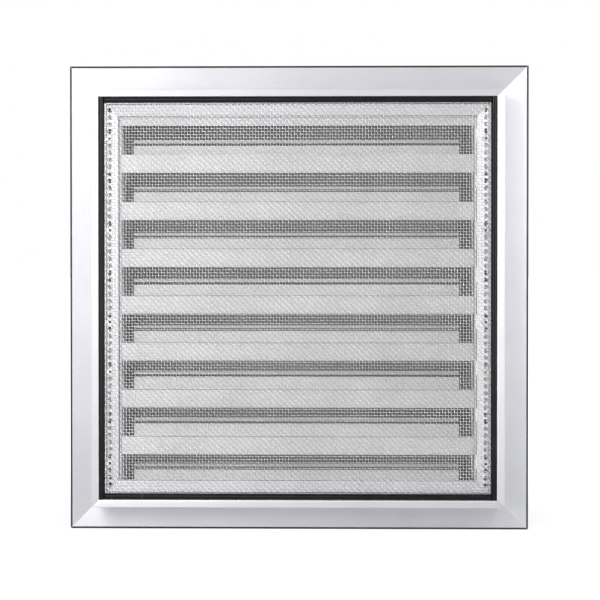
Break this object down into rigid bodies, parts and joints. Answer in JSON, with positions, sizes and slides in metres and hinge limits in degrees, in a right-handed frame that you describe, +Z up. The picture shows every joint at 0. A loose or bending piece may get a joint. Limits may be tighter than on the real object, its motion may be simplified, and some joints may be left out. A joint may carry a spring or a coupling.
{
  "type": "louvred air grille",
  "caption": "Square wall-mounted aluminium louvre grille with fixed sloping blades, a flange, a collar for the wall opening and a rear insect mesh held by a rubber spline.",
  "frame": {"origin": "centre of the whole grille's box", "axes": "+Z up as pictured, +X to the right seen from the mesh side, +Y out of the visible flange side, so the mesh and collar face -Y into the wall"},
  "size_m": [0.332, 0.04, 0.3356],
  "materials": {
    "frame_aluminium": "natural satin anodised, faint brushing along each profile",
    "blade_aluminium": "natural satin anodised extrusion",
    "inner_aluminium": "plain mill finish",
    "wire_steel": "bright drawn wire, plain square weave",
    "spline_rubber": "smooth black extruded cord, soft sheen"
  },
  "bodies": {
    "root": {"frame_top": "frame_aluminium", "frame_bottom": "frame_aluminium", "frame_left": "frame_aluminium", "frame_right": "frame_aluminium", "corner_cleat_top_left": "inner_aluminium", "corner_cleat_top_right": "inner_aluminium", "corner_cleat_bottom_left": "inner_aluminium", "corner_cleat_bottom_right": "inner_aluminium", "blade_1": "blade_aluminium", "blade_2": "blade_aluminium", "blade_3": "blade_aluminium", "blade_4": "blade_aluminium", "blade_5": "blade_aluminium", "blade_6": "blade_aluminium", "blade_7": "blade_aluminium", "blade_8": "blade_aluminium", "blade_9": "blade_aluminium", "side_plate_left": "inner_aluminium", "perforated_rail_left": "frame_aluminium", "blade_clip_left_1": "inner_aluminium", "blade_clip_left_2": "inner_aluminium", "blade_clip_left_3": "inner_aluminium", "blade_clip_left_4": "inner_aluminium", "blade_clip_left_5": "inner_aluminium", "blade_clip_left_6": "inner_aluminium", "blade_clip_left_7": "inner_aluminium", "blade_clip_left_8": "inner_aluminium", "blade_clip_left_9": "inner_aluminium", "rail_rivet_left_1": "inner_aluminium", "rail_rivet_left_2": "inner_aluminium", "rail_rivet_left_3": "inner_aluminium", "rail_rivet_left_4": "inner_aluminium", "rail_rivet_left_5": "inner_aluminium", "side_plate_right": "inner_aluminium", "perforated_rail_right": "frame_aluminium", "blade_clip_right_1": "inner_aluminium", "blade_clip_right_2": "inner_aluminium", "blade_clip_right_3": "inner_aluminium", "blade_clip_right_4": "inner_aluminium", "blade_clip_right_5": "inner_aluminium", "blade_clip_right_6": "inner_aluminium", "blade_clip_right_7": "inner_aluminium", "blade_clip_right_8": "inner_aluminium", "blade_clip_right_9": "inner_aluminium", "rail_rivet_right_1": "inner_aluminium", "rail_rivet_right_2": "inner_aluminium", "rail_rivet_right_3": "inner_aluminium", "rail_rivet_right_4": "inner_aluminium", "rail_rivet_right_5": "inner_aluminium", "insect_mesh": "wire_steel", "spline_left": "spline_rubber", "spline_right": "spline_rubber", "spline_top": "spline_rubber", "spline_bottom": "spline_rubber", "spline_bottom_stub": "spline_rubber"}
  },
  "joints": []
}
